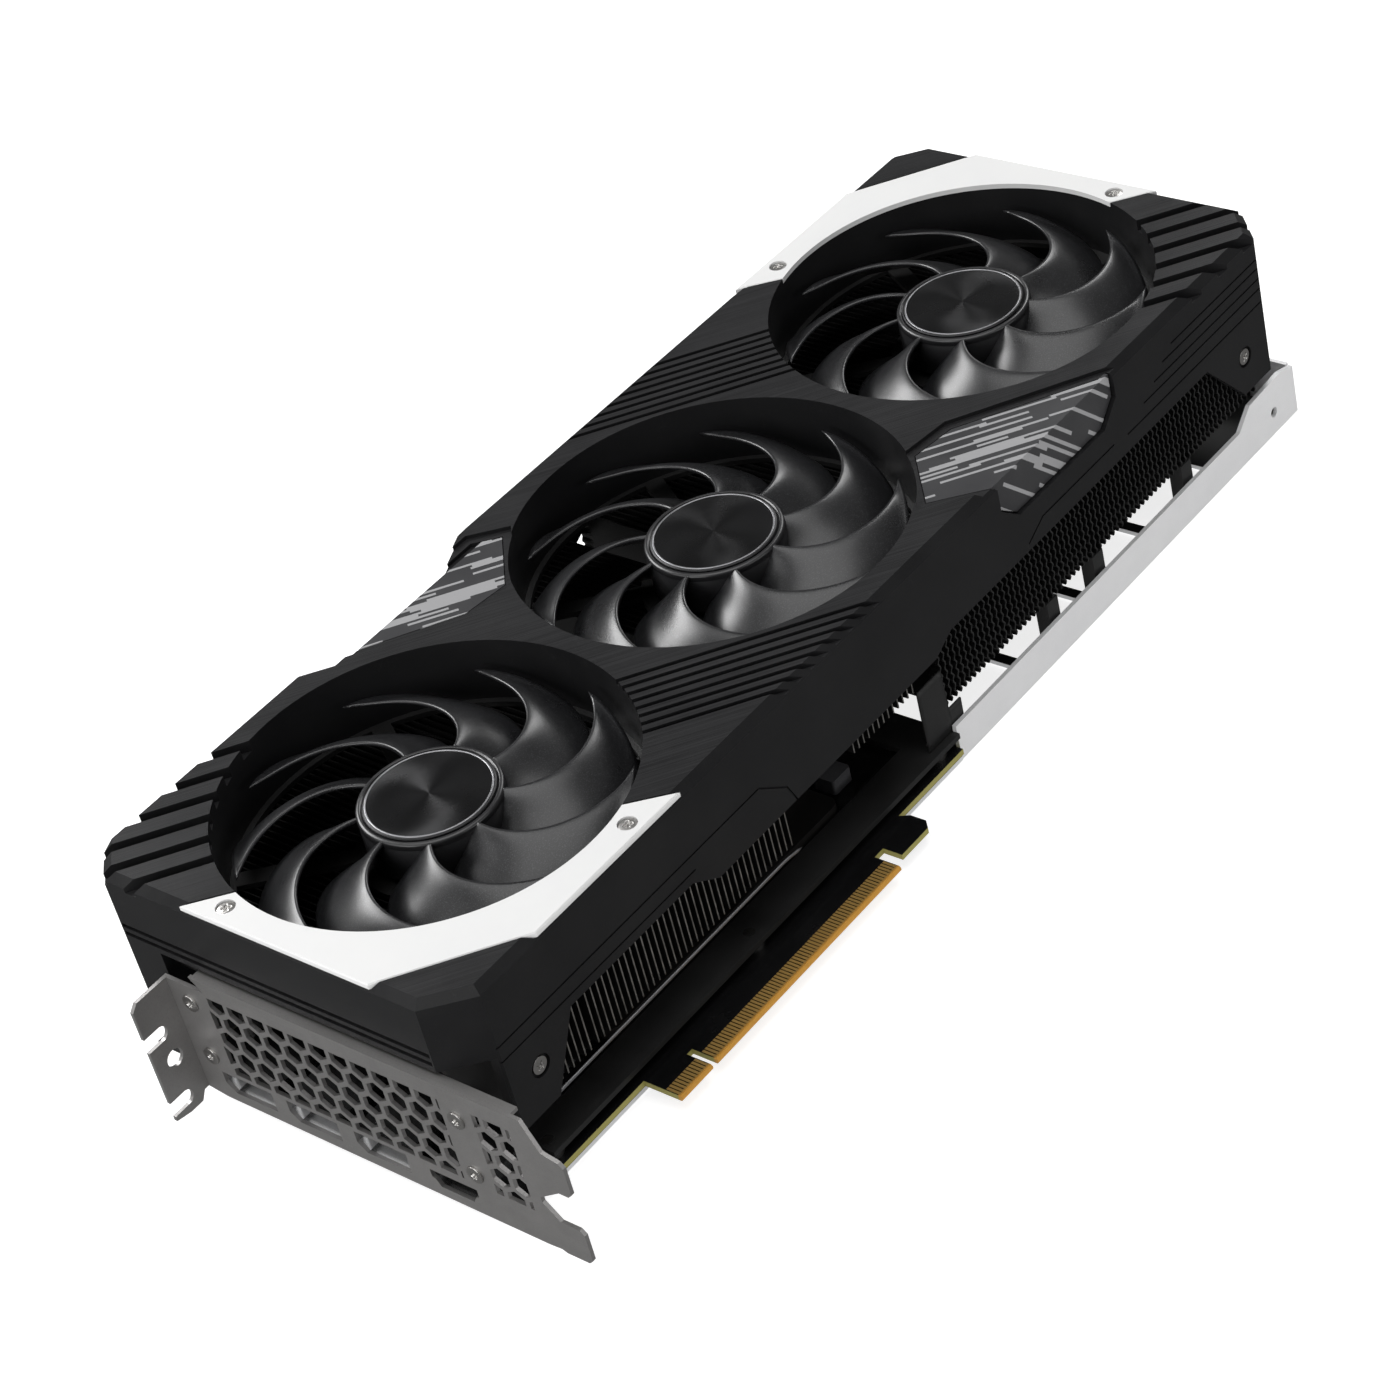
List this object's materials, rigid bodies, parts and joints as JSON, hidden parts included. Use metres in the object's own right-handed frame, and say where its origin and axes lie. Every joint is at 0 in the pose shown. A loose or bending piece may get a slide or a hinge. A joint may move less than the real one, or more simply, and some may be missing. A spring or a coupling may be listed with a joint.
{
  "type": "graphics card",
  "caption": "Long graphics card with axial fans in a ribbed shroud over finned heat sinks, an edge connector, a slot bracket with display sockets and a flow-through tail.",
  "frame": {"origin": "centre of the bounding box at the backplate face", "axes": "+X from the slot bracket to the far end, +Y from the edge connector to the opposite long edge, +Z from the backplate to the fans"},
  "size_m": [0.3448, 0.1422, 0.0621],
  "materials": {
    "bracket_steel": "brushed nickel plate",
    "port_metal": "drawn, bright",
    "port_plastic": "matte",
    "board": "gloss solder mask",
    "gold": "gold plate",
    "package_green": "satin",
    "silicon": "polished",
    "chip_black": "matte",
    "pad_grey": "soft",
    "choke_grey": "matte",
    "can_metal": "drawn",
    "copper": "nickel-free copper",
    "fin_metal": "black coated fins",
    "frame_black": "satin black",
    "shroud_black": "fine moulded grain",
    "trim_white": "satin white",
    "panel_pattern": "printed grey stripes",
    "screw_steel": "machined",
    "plate_silver": "bead blasted",
    "bearing_bronze": "sintered",
    "fan_black": "fine grain",
    "fan_frame_black": "matte",
    "cap_black": "turned sheen",
    "magnet_dark": "bonded magnet",
    "shaft_steel": "ground",
    "stator_copper": "varnished windings"
  },
  "bodies": {
    "card": {"backplate": "plate_silver", "board_screws": "screw_steel", "board_spacers": "screw_steel", "bracket_screws": "bracket_steel", "capacitors": "can_metal", "chokes": "choke_grey", "circuit_board": "board", "cold_plate": "copper", "displayport_1": "port_metal", "displayport_2": "port_metal", "displayport_3": "port_metal", "displayport_tongues": "port_plastic", "edge_contacts_back": "gold", "edge_contacts_front": "gold", "fan_bearings": "bearing_bronze", "fan_frame_1": "fan_frame_black", "fan_frame_2": "fan_frame_black", "fan_frame_3": "fan_frame_black", "fan_stator_1": "stator_copper", "fan_stator_2": "stator_copper", "fan_stator_3": "stator_copper", "fin_stack_front": "fin_metal", "fin_stack_middle": "fin_metal", "fin_stack_rear": "fin_metal", "frame_plate": "frame_black", "gpu_die": "silicon", "gpu_package": "package_green", "hdmi_port": "port_metal", "hdmi_tongue": "port_plastic", "heat_pipes": "copper", "io_bracket": "bracket_steel", "memory_chips": "chip_black", "pattern_panel_far": "panel_pattern", "pattern_panel_near": "panel_pattern", "power_inlet": "port_plastic", "power_pins": "gold", "power_stages": "chip_black", "retention_brace": "bracket_steel", "shroud": "shroud_black", "side_screws": "screw_steel", "spring_screws": "screw_steel", "standoffs": "frame_black", "tail_flange": "plate_silver", "thermal_pads": "pad_grey", "trim_plate_front": "trim_white", "trim_plate_rear": "trim_white", "trim_screws": "screw_steel"},
    "fan_1": {"impeller_1": "fan_black", "hub_cap_1": "cap_black", "rotor_magnet_1": "magnet_dark", "fan_shaft_1": "shaft_steel"},
    "fan_2": {"impeller_2": "fan_black", "hub_cap_2": "cap_black", "rotor_magnet_2": "magnet_dark", "fan_shaft_2": "shaft_steel"},
    "fan_3": {"impeller_3": "fan_black", "hub_cap_3": "cap_black", "rotor_magnet_3": "magnet_dark", "fan_shaft_3": "shaft_steel"}
  },
  "joints": [
    {"name": "fan_1_spin", "type": "hinge", "parent": "card", "child": "fan_1", "pos_m": [-0.10057, 0.0123, 0.0445], "axis": [0, 0, 1], "continuous": true},
    {"name": "fan_2_spin", "type": "hinge", "parent": "card", "child": "fan_2", "pos_m": [0.00623, 0.0123, 0.0445], "axis": [0, 0, 1], "continuous": true},
    {"name": "fan_3_spin", "type": "hinge", "parent": "card", "child": "fan_3", "pos_m": [0.11303, 0.0123, 0.0445], "axis": [0, 0, 1], "continuous": true}
  ]
}
